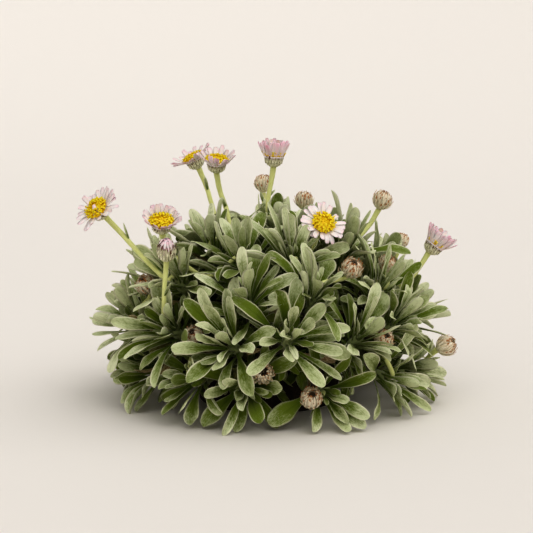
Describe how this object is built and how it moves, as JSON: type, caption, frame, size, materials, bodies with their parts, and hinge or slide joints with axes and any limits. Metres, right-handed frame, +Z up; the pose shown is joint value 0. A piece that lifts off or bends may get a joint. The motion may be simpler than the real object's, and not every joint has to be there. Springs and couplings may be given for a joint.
{
  "type": "potted mountain everlasting",
  "caption": "Low dome of silvery felted leaf rosettes with pale pink daisy heads and dried woolly heads, in a plain shallow fibre pot; stands on its base.",
  "frame": {"origin": "centre of the pot's flat underside", "axes": "+Z up, out of the pot; -Y towards the front, the side the picture shows; +X to the right seen from there"},
  "size_m": [0.1881, 0.1821, 0.1297],
  "materials": {
    "pot": "rough dark brown pressed fibre",
    "soil": "crumbly dark potting soil",
    "leaf": "silvery felted green, matt",
    "ray": "thin white to pale pink, soft",
    "floret": "golden yellow, granular, matt",
    "dried": "dry cream to brown woolly scales"
  },
  "bodies": {
    "root": {"pot": "pot", "soil": "soil", "shoot_low_mid_1": "leaf", "shoot_low_mid_2": "leaf", "shoot_low_mid_3": "leaf", "shoot_low_mid_4": "leaf", "shoot_low_mid_5": "leaf", "shoot_low_mid_6": "leaf", "shoot_low_mid_7": "leaf", "shoot_low_mid_8": "leaf", "shoot_low_mid_9": "leaf", "shoot_low_mid_10": "leaf", "shoot_low_mid_11": "leaf", "shoot_low_mid_12": "leaf", "shoot_high_1": "leaf", "shoot_high_2": "leaf", "shoot_high_3": "leaf", "shoot_high_4": "leaf", "shoot_high_5": "leaf", "shoot_high_6": "leaf", "shoot_high_7": "leaf", "shoot_high_8": "leaf", "shoot_high_9": "leaf", "shoot_crown_1": "leaf", "shoot_crown_2": "leaf", "shoot_crown_3": "leaf", "shoot_crown_4": "leaf", "shoot_crown_5": "leaf", "shoot_crown_6": "leaf", "shoot_crown_7": "leaf", "shoot_top_1": "leaf", "bloom_1_rays": "ray", "bloom_1_florets": "floret", "bloom_2_rays": "ray", "bloom_2_florets": "floret", "bloom_3_rays": "ray", "bloom_3_florets": "floret", "bloom_4_rays": "ray", "bloom_4_florets": "floret", "bloom_5_rays": "ray", "bloom_5_florets": "floret", "cup_1_rays": "ray", "cup_1_florets": "floret", "cup_2_rays": "ray", "cup_2_florets": "floret", "closing_1_tuft": "ray", "dried_head_1": "dried", "dried_head_2": "dried", "dried_head_3": "dried", "dried_head_4": "dried", "dried_head_5": "dried", "dried_head_6": "dried", "dried_head_7": "dried", "dried_head_8": "dried", "dried_head_9": "dried", "dried_head_10": "dried", "dried_head_11": "dried", "dried_head_12": "dried", "dried_head_13": "dried", "dried_head_14": "dried"}
  },
  "joints": []
}
